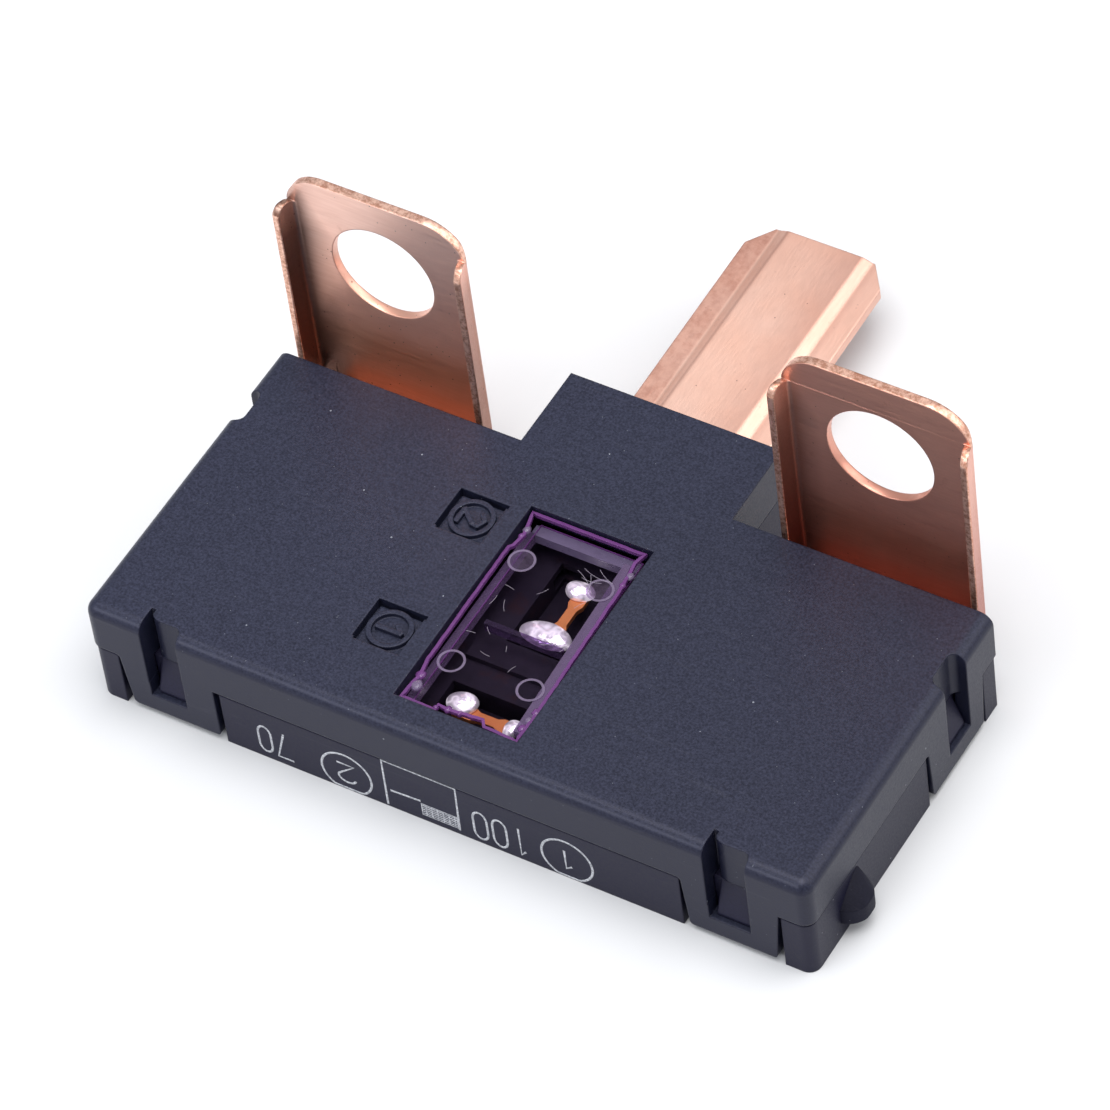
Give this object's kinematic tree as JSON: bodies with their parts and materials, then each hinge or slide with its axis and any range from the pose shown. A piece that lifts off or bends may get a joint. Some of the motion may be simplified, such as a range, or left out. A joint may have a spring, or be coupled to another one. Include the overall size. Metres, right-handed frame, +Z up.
{
  "type": "bolt-in multi-circuit block fuse",
  "caption": "Flat black block fuse with a clear window, two upright copper tabs with bolt holes at the back and one flat copper blade between them.",
  "frame": {"origin": "bottom centre of the overall box, which includes the blade and the side nub", "axes": "+Z up out of the cover, +Y from the printed front face towards the blade, +X along the front edge towards the side with the nub"},
  "size_m": [0.0512, 0.048, 0.0225],
  "materials": {
    "black_nylon_cover": "satin moulded, faint blue-grey sheen, fine scratches",
    "black_nylon_base": "satin moulded",
    "clear_lens": "clear with a violet tint at the edges",
    "copper_sheet": "bare rolled copper, sheared edges bright",
    "fusible_copper": "bare",
    "tin": "shiny melted tin"
  },
  "bodies": {
    "base": {"base_housing": "black_nylon_base", "left_terminal": "copper_sheet", "right_terminal": "copper_sheet", "centre_terminal": "copper_sheet", "fuse_link_1": "fusible_copper", "fuse_link_2": "fusible_copper", "tin_joint_1a": "tin", "tin_joint_1b": "tin", "tin_joint_2a": "tin", "tin_joint_2b": "tin"},
    "cover": {"top_cover": "black_nylon_cover", "window_lens": "clear_lens", "snap_arm_front_left": "black_nylon_cover", "snap_arm_front_right": "black_nylon_cover", "snap_arm_side_left": "black_nylon_cover", "snap_arm_side_right": "black_nylon_cover"}
  },
  "joints": [
    {"name": "cover_lift", "type": "slide", "parent": "base", "child": "cover", "axis": [0, 0, 1], "range_m": [0, 0.012], "deforming": ["snap_arm_front_left", "snap_arm_front_right", "snap_arm_side_left", "snap_arm_side_right"]}
  ]
}
